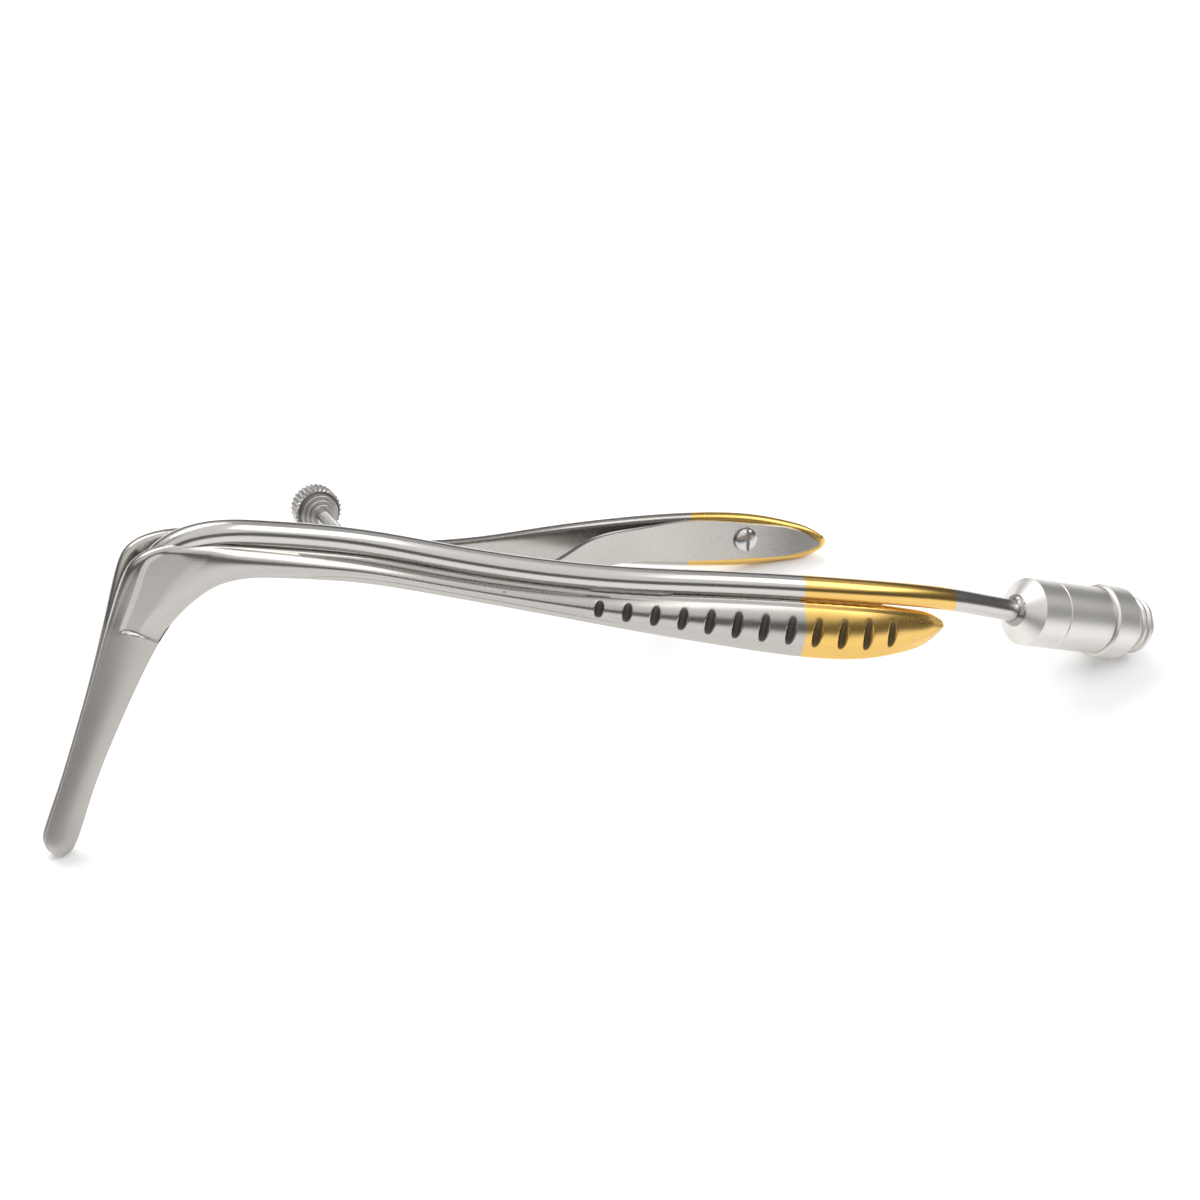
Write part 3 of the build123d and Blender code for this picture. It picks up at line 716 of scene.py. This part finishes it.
def spring_mesh(name, side):
    """One leaf spring: an even strip, round at its free end and pointed at the other."""
    stations = chord_lengths(spring_line)
    line = natural_spline(stations, spring_line, np.linspace(0, stations[-1], 300))
    line = np.array([point for point in line if FREE_END < point[0] < FIXED_END])
    tangents = np.gradient(line, axis=0)
    tangents /= np.linalg.norm(tangents, axis=1)[:, None]
    rows = []
    for centre, tangent in zip(line, tangents):
        x = centre[0]
        high, low = (natural_spline(*zip(*edge), [x])[0] for edge in (SPRING_UPPER, SPRING_LOWER))
        from_end = x - FREE_END
        if from_end < FREE_END_ROUND:
            bulge = sqrt(FREE_END_ROUND ** 2 - (FREE_END_ROUND - from_end) ** 2)
            high, low = FREE_END_HEIGHT + bulge, FREE_END_HEIGHT - bulge
        if x > POINT_START:
            close = ((FIXED_END - x) / (FIXED_END - POINT_START)) ** 0.7
            high, low = POINT_HEIGHT + POINT_RISE * close, POINT_HEIGHT - POINT_DROP * close
        high = max(high, low + LEAST_HEIGHT)
        rows.append([(x - tangent[1] * deep, side * (centre[1] + tangent[0] * deep), up)
                     for deep, up in spring_section(low, high)])
    return rolled_mesh(name, rows)


# Each spring gets a bend tuple of its two bodies and the places x = 100 and x = 36; finish only bakes it in
# place.
BEND_START, BEND_END = (100.0, 0.0, 0.0), (36.0, 0.0, 0.0)
for key, other_key, name, node in (
    ("plain", "light", "far_leaf_spring", "far_spring"),
    ("light", "plain", "near_leaf_spring", "near_spring"),
):
    bend = (key, other_key, BEND_START, BEND_END)
    finish(name, spring_mesh(name, SIDES[key]), bend, [node], spring_metal)

# Slotted screws
# Polished steel screws: one with a domed head holds each spring to its handle, and one with a flat
# head is the pivot of the two halves.
screw_metal = metal("screw_metal", (0.60, 0.59, 0.575), 0.22, 0.05, 0.02)[0]
SCREW_X, SCREW_Z = 123.0, 0.6
SCREW_HEAD_RADIUS, SCREW_HEAD_HEIGHT, SCREW_RADIUS, SCREW_LENGTH = 2.3, 1.1, 1.1, 2.6
SLOT_LENGTH, SLOT_WIDTH, SLOT_DEPTH = 8.0, 0.78, 0.85
PIVOT_SLOT_ANGLE, PIVOT_HEAD_HEIGHT = radians(25), 1.0
HANDLE_INSIDE_Y = 23.85
spring_face_y = HANDLE_INSIDE_Y - SPRING_GAP - SPRING_THICKNESS


def domed_profile(radius, height, skirt, steps=14):
    """A low dome over a short straight skirt."""
    profile = [(0.0, 0.0), (0.0, radius - 0.08), (0.08, radius), (skirt, radius)]
    for i in range(1, steps + 1):
        angle = pi / 2 * i / steps
        profile.append((skirt + (height - skirt) * sin(angle), max(radius * cos(angle), 0.001)))
    return profile


def slotted(head, top, axis, length_way):
    """A screw head with a straight slot sawn into its top."""
    axis, length_way = Vector(axis), Vector(length_way).normalized()
    width_way = axis.cross(length_way).normalized()
    size = Matrix.Diagonal((SLOT_LENGTH, SLOT_WIDTH, 2 * SLOT_DEPTH))
    slot_turn = Matrix((length_way, width_way, axis)).transposed() @ size
    work = bmesh.new()
    bmesh.ops.create_cube(work, size=1.0, matrix=Matrix.Translation(top) @ slot_turn.to_4x4())
    return boolean(head, finished_mesh(work, "slot"), "DIFFERENCE")


for key, node in (("plain", "far_spring_screw"), ("light", "near_spring_screw")):
    side = SIDES[key]
    seat = Vector((SCREW_X, side * spring_face_y, SCREW_Z))
    inward = Vector((0, -side, 0))
    head = turned_mesh(node, seat, inward, domed_profile(SCREW_HEAD_RADIUS, SCREW_HEAD_HEIGHT, 0.35), 80)
    head = slotted(head, seat + inward * SCREW_HEAD_HEIGHT, inward, (-0.2, 0, 1))
    shank = turned_mesh(node, seat, inward, [(-SCREW_LENGTH, SCREW_RADIUS), (0.2, SCREW_RADIUS)], 40)
    head = boolean(head, shank, "UNION")
    finish(node + "_head", head, key, [node], screw_metal)

pivot_top = Vector((PIVOT.x, 0, EAR_HIGH))
pivot_length = EAR_HIGH - EAR_LOW
pivot_profile = [(-pivot_length, PIVOT_RADIUS - 0.15), (0.15 - pivot_length, PIVOT_RADIUS), (0, PIVOT_RADIUS),
                 (0, 2.85), (0.06, 2.9), (0.7, 2.9), (0.8, 2.87), (0.95, 2.72), (PIVOT_HEAD_HEIGHT, 2.6)]
pivot_head = turned_mesh("pivot", pivot_top, (0, 0, 1), pivot_profile, 80)
slot_way = (cos(PIVOT_SLOT_ANGLE), sin(PIVOT_SLOT_ANGLE), 0)
pivot_head = slotted(pivot_head, pivot_top + Vector((0, 0, PIVOT_HEAD_HEIGHT)), (0, 0, 1), slot_way)
finish("pivot_screw_head", pivot_head, "light", ["pivot_screw"], screw_metal)

# Set screw
# A finely threaded steel spindle goes through the plain arm and bears on the light arm. A turned
# knob with a knurled rim and three steps sits on its pin.
SPINDLE_TIP_Y, KNOB_FACE_Y, KNOB_RADIUS, KNOB_WIDTH = -2.2, 24.6, 4.25, 3.6
BOSS_STEPS = ((3.3, 1.0), (2.7, 0.8), (2.1, 0.8))
PIN_RADIUS = 1.1
THREAD_PITCH, THREAD_DEPTH = 0.5, 0.14
KNOB_FLUTES, FLUTE_DEPTH = 30, 0.3
boss_length = sum(height for radius, height in BOSS_STEPS)
shoulder_y = KNOB_FACE_Y - boss_length
shoulder = shoulder_y - SPINDLE_TIP_Y
thread_start, thread_end = 0.5, shoulder - 1.0
spindle_tip = SET_SCREW + Vector((0, SPINDLE_TIP_Y, 0))

spindle_profile = [(0.0, 0.8), (0.0, SPINDLE_RADIUS - 0.3), (0.3, SPINDLE_RADIUS)]
thread_root = SPINDLE_RADIUS - THREAD_DEPTH
thread_turns = int((thread_end - thread_start) / THREAD_PITCH)
for i in range(thread_turns):
    low = thread_start + i * THREAD_PITCH
    spindle_profile += [(low, SPINDLE_RADIUS), (low + THREAD_PITCH * 0.2, SPINDLE_RADIUS),
                        (low + THREAD_PITCH * 0.5, thread_root), (low + THREAD_PITCH * 0.7, thread_root)]
spindle_profile.append((thread_start + thread_turns * THREAD_PITCH, SPINDLE_RADIUS))
pin_end = shoulder + boss_length + KNOB_WIDTH
spindle_profile += [(shoulder, SPINDLE_RADIUS), (shoulder, PIN_RADIUS), (pin_end - 0.1, PIN_RADIUS),
                    (pin_end, PIN_RADIUS - 0.1)]
spindle = turned_mesh("spindle", spindle_tip, (0, 1, 0), spindle_profile, 64)
finish("set_screw_spindle", spindle, "spindle", ["set_spindle"], screw_metal, 25)

# Lathe lines: fine rings across an axis, as a height and a change of roughness
lathe, given, made = node_group("lathe_lines", [("Along", 0.0), ("Spacing", 0.09)], ["Height", "Roughness"])
spaced = math_node(lathe, "DIVIDE", given.outputs["Along"], given.outputs["Spacing"])
along = lathe.nodes.new("ShaderNodeCombineXYZ")
lathe.links.new(spaced, along.inputs["X"])
lines = noise(lathe, along.outputs[0], 1.0, 2.0, 0.6)
lathe.links.new(lines, made.inputs["Height"])
uneven = math_node(lathe, "MULTIPLY", math_node(lathe, "SUBTRACT", lines, 0.5), 0.35)
lathe.links.new(uneven, made.inputs["Roughness"])


def add_lathe_lines(made_metal, axis, strength=0.12):
    """Turned rings across an axis on a metal, over its polish."""
    material, tree, surface = made_metal
    along = tree.nodes.new("ShaderNodeVectorMath")
    along.operation = "DOT_PRODUCT"
    along.inputs[1].default_value = axis
    tree.links.new(place_of(tree), along.inputs[0])
    rings = tree.nodes.new("ShaderNodeGroup")
    rings.node_tree = lathe
    tree.links.new(along.outputs["Value"], rings.inputs["Along"])
    relief = tree.nodes.new("ShaderNodeBump")
    relief.inputs["Strength"].default_value = strength
    relief.inputs["Distance"].default_value = 0.00005
    tree.links.new(rings.outputs["Height"], relief.inputs["Height"])
    tree.links.new(surface.inputs["Normal"].links[0].from_socket, relief.inputs["Normal"])
    tree.links.new(relief.outputs["Normal"], surface.inputs["Normal"])
    polish = surface.inputs["Roughness"].links[0].from_socket
    rough = math_node(tree, "ADD", polish, rings.outputs["Roughness"], True)
    tree.links.new(rough, surface.inputs["Roughness"])
    return material


knob_metal = add_lathe_lines(metal("knob_metal", (0.46, 0.445, 0.43), 0.34, 0.05, 0.02), (0.0, 1.0, 0.0))


def knurl(angle, radius):
    """Depth of the knob's knurled rim at an angle; only the rim's points are cut."""
    if radius < KNOB_RADIUS - 0.3:
        return 0.0
    phase = (angle * KNOB_FLUTES / (2 * pi)) % 1.0
    return -FLUTE_DEPTH * (1 - abs(2 * phase - 1)) ** 1.4


knob_profile = [(shoulder_y, PIN_RADIUS + CLEARANCE)]
level = shoulder_y
for radius, height in reversed(BOSS_STEPS):
    knob_profile += [(level, radius - 0.12), (level + 0.12, radius)]
    level += height
    knob_profile += [(level - 0.12, radius), (level, radius - 0.02)]
knob_back = KNOB_FACE_Y + KNOB_WIDTH
knob_profile += [
    (KNOB_FACE_Y + 0.02, 3.35), (KNOB_FACE_Y + 0.45, 3.45), (KNOB_FACE_Y + 0.4, 3.6), (KNOB_FACE_Y, 3.75),
    (KNOB_FACE_Y, KNOB_RADIUS - 0.2), (KNOB_FACE_Y + 0.25, KNOB_RADIUS), (knob_back - 0.25, KNOB_RADIUS),
    (knob_back, KNOB_RADIUS - 0.2), (knob_back, KNOB_RADIUS - 0.7), (knob_back, PIN_RADIUS + CLEARANCE),
    knob_profile[0],
]
knob = turned_mesh("knob", (SET_SCREW.x, 0, SET_SCREW.z), (0, 1, 0), knob_profile, 240, knurl)
finish("knurled_knob", knob, "knob", ["set_knob"], knob_metal, 28)

# Light tube
# One polished steel tube, bent to follow the light half's top and gilded only beside the handle.
# It is open at the front round the polished end of the fibre bundle.
tube_colour = (0.57, 0.548, 0.522)
tube_metal, tree, surface = metal("tube_metal", tube_colour, 0.22, 0.05, 0.05)
gilded = group_output(tree, band, {"Start": 110.7, "End": 141.0, "Softness": 0.25}, "Inside")
tree.links.new(mixed_colour(tree, gilded, tube_colour, gold_colour), surface.inputs["Base Color"])
tube = bent_tube("tube", [tuple(point) for point in tube_line], TUBE_RADIUS, 64)
tube_front, front_way = Vector(tube_line[0]), Vector(tube_line[1] - tube_line[0]).normalized()
tube = boolean(tube, rod(tube_front, front_way, -1.0, TIP_LENGTH, TUBE_BORE), "DIFFERENCE")
finish("polished_light_tube", tube, "light", ["light_tube"], tube_metal, 40)

# Fibre ends: a close pack of bright glass dots in dark cement
fibre_glass = bpy.data.materials.new("fibre_glass")
fibre_glass.use_nodes = True
tree = fibre_glass.node_tree
surface = tree.nodes["Principled BSDF"]
surface.inputs["Roughness"].default_value = 0.12
surface.inputs["Coat Weight"].default_value = 0.4
cells = tree.nodes.new("ShaderNodeTexVoronoi")
cells.inputs["Scale"].default_value = 9.0
tree.links.new(place_of(tree), cells.inputs["Vector"])
dots = math_node(tree, "GREATER_THAN", 0.42, cells.outputs["Distance"])
cement_colour, glass_colour = (0.05, 0.045, 0.03), (0.75, 0.78, 0.72)
tree.links.new(mixed_colour(tree, dots, cement_colour, glass_colour), surface.inputs["Base Color"])
fibre_profile = [(0.12, 0.001), (0.12, TUBE_BORE - 0.06), (0.18, TUBE_BORE - 0.01),
                 (TIP_LENGTH, TUBE_BORE - 0.01)]
fibres = turned_mesh("fibres", tube_front, front_way, fibre_profile, 48)
finish("fibre_bundle_end", fibres, "light", ["fibre_tip"], fibre_glass)

# Light connector
# Turned steel pieces on one axis, screwed together: a base with a shallow cone, a sleeve, a collar
# and the threaded post for the light cable, with the glass rod's end in it.
turned_metal = add_lathe_lines(metal("turned_metal", (0.72, 0.70, 0.668), 0.4, 0.05, 0.02), CONNECTOR_WAY)
CONE_LENGTH, CONE_TIP_RADIUS, BODY_RADIUS, BASE_LENGTH = 2.0, 2.9, 6.1, 6.2
SLEEVE_LENGTH, COLLAR_RADIUS, COLLAR_LENGTH, POST_RADIUS, POST_LENGTH = 11.2, 6.69, 5.6, 5.2, 5.5
NECK_RADIUS, STEM_RADIUS, THREAD_ROOT, RING_GAP, EDGE = 4.9, 3.4, 4.6, 0.02, 0.12
POST_RINGS, POST_RING_STEP = 3, 1.3
sleeve_start = CONE_LENGTH + BASE_LENGTH
collar_start = sleeve_start + SLEEVE_LENGTH
post_start = collar_start + COLLAR_LENGTH
connector_end = post_start + POST_LENGTH
socket_end = TUBE_IN_BASE + 0.5
base_profile = [
    (0.0, TUBE_RADIUS + 0.04), (0.0, CONE_TIP_RADIUS - 0.1), (0.08, CONE_TIP_RADIUS),
    (CONE_LENGTH - 0.1, BODY_RADIUS - 0.2), (CONE_LENGTH + EDGE, BODY_RADIUS),
    (sleeve_start - EDGE, BODY_RADIUS), (sleeve_start, BODY_RADIUS - EDGE), (sleeve_start, STEM_RADIUS),
    (socket_end, STEM_RADIUS), (socket_end, TUBE_RADIUS + 0.04),
]
sleeve_profile = [
    (sleeve_start + RING_GAP, STEM_RADIUS), (sleeve_start + RING_GAP, BODY_RADIUS - EDGE),
    (sleeve_start + RING_GAP + EDGE, BODY_RADIUS), (collar_start - 0.15, BODY_RADIUS),
    (collar_start - RING_GAP, BODY_RADIUS - 0.13), (collar_start - RING_GAP, NECK_RADIUS),
    (post_start - RING_GAP, NECK_RADIUS), (post_start - RING_GAP, STEM_RADIUS),
]
collar_profile = [
    (collar_start, NECK_RADIUS), (collar_start, COLLAR_RADIUS - 0.4),
    (collar_start + 0.1, COLLAR_RADIUS - 0.22), (collar_start + 0.4, COLLAR_RADIUS),
    (post_start - 0.4, COLLAR_RADIUS), (post_start - 0.1, COLLAR_RADIUS - 0.22),
    (post_start, COLLAR_RADIUS - 0.4), (post_start, NECK_RADIUS),
]
post_profile = [(post_start - 1.0, STEM_RADIUS), (post_start, STEM_RADIUS), (post_start, THREAD_ROOT),
                (post_start + 0.9, THREAD_ROOT)]
for i in range(POST_RINGS):
    low = post_start + 1.0 + i * POST_RING_STEP
    post_profile += [(low, THREAD_ROOT), (low + 0.35, POST_RADIUS), (low + 0.75, POST_RADIUS),
                     (low + 1.1, THREAD_ROOT)]
post_profile += [
    (connector_end - 0.45, THREAD_ROOT), (connector_end - 0.3, THREAD_ROOT + 0.05),
    (connector_end, THREAD_ROOT - 0.15), (connector_end, TUBE_BORE + 0.6),
    (connector_end - 0.5, TUBE_BORE + 0.3), (connector_end - 0.5, TUBE_BORE + 0.02),
    (post_start - 1.0, TUBE_BORE + 0.02),
]
for name, node, profile in (
    ("turned_connector_base", "connector_base", base_profile),
    ("turned_connector_sleeve", "connector_sleeve", sleeve_profile),
    ("turned_connector_collar", "connector_collar", collar_profile),
    ("turned_threaded_post", "threaded_post", post_profile),
):
    lathed = turned_mesh(name, CONNECTOR, CONNECTOR_WAY, profile + profile[:1], 128)
    finish(name, lathed, "light", [node], turned_metal, 26)
rod_profile = [(TUBE_IN_BASE + 0.08, TUBE_BORE), (connector_end - 0.06, TUBE_BORE),
               (connector_end, TUBE_BORE - 0.06), (connector_end, 0.001)]
lathed = turned_mesh("rod", CONNECTOR, CONNECTOR_WAY, rod_profile, 48)
finish("light_rod_end", lathed, "light", ["light_rod"], fibre_glass)

# Silver solder
# A lumpy ring joins the tube and the connector, and two beads in the groove between the tube and
# the handle hold the tube. The bead beside the handle's end is gilded with it.
solder_colour, gilded_solder_colour = (0.34, 0.32, 0.30), (0.42, 0.22, 0.06)
solder_metal, tree, surface = metal("solder_metal", solder_colour, 0.3, 0.2, 0.0)
gilded = group_output(tree, band, {"Start": 110.7, "End": 141.0, "Softness": 0.25}, "Inside")
solder_mix = mixed_colour(tree, gilded, solder_colour, gilded_solder_colour)
tree.links.new(solder_mix, surface.inputs["Base Color"])
lumps = tree.nodes.new("ShaderNodeBump")
lumps.inputs["Strength"].default_value = 0.6
lumps.inputs["Distance"].default_value = 0.0003
tree.links.new(noise(tree, place_of(tree), 1.6, 2.0), lumps.inputs["Height"])
tree.links.new(lumps.outputs["Normal"], surface.inputs["Normal"])
RING_RISE = [(-0.9, 0.12), (-0.75, 0.3), (-0.45, 0.62), (-0.15, 0.84), (0.0, 0.86)]
LUMP_HEIGHT, RING_LUMPS_TOP = 0.09, 0.85
SEAMS = (("front_solder_seam", 73.5, 88.0), ("rear_solder_seam", 110.0, 125.5))
BEAD_RADIUS, BEAD_IN, BEAD_SINK, BEAD_TAPER, BEAD_LEAST = 0.27, 0.75, 0.05, 9, 0.074
solder_profile = [(0.0, TUBE_RADIUS + 0.02), (-0.9, TUBE_RADIUS + 0.02)]
solder_profile += [(back, TUBE_RADIUS + rise) for back, rise in RING_RISE]


def solder_lumps(angle, radius):
    """Unevenness of the solder ring's outer points."""
    if not 0.1 < radius - TUBE_RADIUS < RING_LUMPS_TOP:
        return 0.0
    return LUMP_HEIGHT * (sin(3 * angle + 0.6) + 0.6 * sin(7 * angle + 2.0))


ring = turned_mesh("solder", CONNECTOR, CONNECTOR_WAY, solder_profile + solder_profile[:1], 96, solder_lumps)
finish("solder_collar", ring, "light", ["solder_ring"], solder_metal, 50)

for name, start_x, end_x in SEAMS:
    run = [point for point in tube_line if start_x < point[0] < end_x]
    bead = [(x, y - BEAD_IN, z - TUBE_RADIUS + BEAD_SINK) for x, y, z in run]

    def bead_swell(place, start=start_x):
        """The bead's share of its radius: thin at its ends and lumpy between them."""
        ends = min(min(place, 1 - place) * BEAD_TAPER, 1.0) ** 0.5
        return ends * (1 + 0.16 * sin(place * 41 + start) + 0.1 * sin(place * 97)) + BEAD_LEAST

    seam = bent_tube(name, bead, BEAD_RADIUS, 20, bead_swell)
    finish(name, seam, "light", [], solder_metal, 60)

# Stage
# A plain pale floor, with a low dark wall round it and a taller grey one above that, behind the
# object. Only reflections show the walls.
FLOOR_REACH = 0.6


def staged_piece(work, name, colour):
    """A piece of the stage in a dull paint."""
    paint = bpy.data.materials.new(name + "_paint")
    paint.use_nodes = True
    surface = paint.node_tree.nodes["Principled BSDF"]
    surface.inputs["Base Color"].default_value = (*colour, 1)
    surface.inputs["Roughness"].default_value = 0.9
    surface.inputs["Specular IOR Level"].default_value = 0.0
    mesh = finished_mesh(work, name)
    mesh.materials.append(paint)
    piece = bpy.data.objects.new(name, mesh)
    bpy.context.scene.collection.objects.link(piece)
    return piece


work = bmesh.new()
bmesh.ops.create_grid(work, x_segments=1, y_segments=1, size=FLOOR_REACH)
staged_piece(work, "floor", (0.96, 0.96, 0.96))


def wall(name, colour, bottom, top, start, sweep):
    """Part of a round wall: an upright edge spun through an angle."""
    work = bmesh.new()
    foot = Vector((FLOOR_REACH * cos(start), FLOOR_REACH * sin(start), bottom))
    ends = [work.verts.new(foot), work.verts.new(foot + Vector((0, 0, top - bottom)))]
    upright = work.edges.new(ends)
    bmesh.ops.spin(work, geom=ends + [upright], cent=(0, 0, 0), axis=(0, 0, 1), angle=sweep, steps=48)
    piece = staged_piece(work, name, colour)
    piece.visible_camera = False
    piece.visible_diffuse = False
    piece.visible_shadow = False


wall("low_wall", (0.09, 0.09, 0.092), 0.0, 0.34, 0.0, 2 * pi)
wall("back_wall", (0.42, 0.42, 0.428), 0.34, 1.1, radians(-5), radians(190))

# Camera as in the photograph
VIEW_TURN, VIEW_RISE, VIEW_ROLL = radians(-25.69), radians(16.67), radians(11.26)
LOOK_AT = Vector((84.45, 0.0, -5.53))
VIEW_DISTANCE = 459.0
backward = Vector((sin(VIEW_TURN) * cos(VIEW_RISE), -cos(VIEW_TURN) * cos(VIEW_RISE), sin(VIEW_RISE)))
rightward = Vector((cos(VIEW_TURN), sin(VIEW_TURN), 0.0))
upward = backward.cross(rightward)
rolled_right = rightward * cos(VIEW_ROLL) + upward * sin(VIEW_ROLL)
rolled_up = upward * cos(VIEW_ROLL) - rightward * sin(VIEW_ROLL)
camera_data = bpy.data.cameras.new("camera")
camera_data.lens = 78.0
camera_data.sensor_width = 36.0
camera_data.clip_start = 0.01
camera_data.clip_end = 20.0
camera = bpy.data.objects.new("camera", camera_data)
bpy.context.scene.collection.objects.link(camera)
view_right, view_up, view_back = direction(rolled_right), direction(rolled_up), direction(backward)
axes = Matrix((view_right, view_up, view_back)).transposed().to_4x4()
camera.matrix_world = Matrix.Translation(to_world(LOOK_AT + backward * VIEW_DISTANCE)) @ axes
bpy.context.scene.camera = camera

# Lights
# Two soft lights face the object: a strong one above and to the left, and a weaker one above, to the
# right and nearer the camera. Places are in metres from the object's middle, as the camera sees it.
middle = to_world(LOOK_AT)
for name, (right, up, back), width, height, power in (
    ("key", (-0.35, 0.75, 0.1), 0.8, 0.5, 5.0),
    ("fill", (0.6, 0.5, 0.5), 0.6, 0.6, 2.5),
):
    light = bpy.data.lights.new(name, "AREA")
    light.shape = "RECTANGLE"
    light.size, light.size_y = width, height
    light.energy = power
    lamp = bpy.data.objects.new(name, light)
    bpy.context.scene.collection.objects.link(lamp)
    place = middle + view_right * right + view_up * up + view_back * back
    towards = (middle - place).to_track_quat("-Z", "Y").to_matrix().to_4x4()
    lamp.matrix_world = Matrix.Translation(place) @ towards

# White surroundings, a little weaker as a light than as what the camera and reflections see
WORLD_LIGHT = 0.8
world = bpy.data.worlds.new("world")
bpy.context.scene.world = world
world.use_nodes = True
tree = world.node_tree
backdrop = tree.nodes["Background"]
backdrop.inputs["Color"].default_value = (1, 1, 1, 1)
ray = tree.nodes.new("ShaderNodeLightPath")
seen = math_node(tree, "ADD", ray.outputs["Is Camera Ray"], ray.outputs["Is Glossy Ray"], True)
seen = math_node(tree, "ADD", seen, ray.outputs["Is Transmission Ray"], True)
strength = math_node(tree, "ADD", math_node(tree, "MULTIPLY", seen, 1.0 - WORLD_LIGHT), WORLD_LIGHT)
tree.links.new(strength, backdrop.inputs["Strength"])
bpy.context.scene.view_settings.view_transform = "Standard"
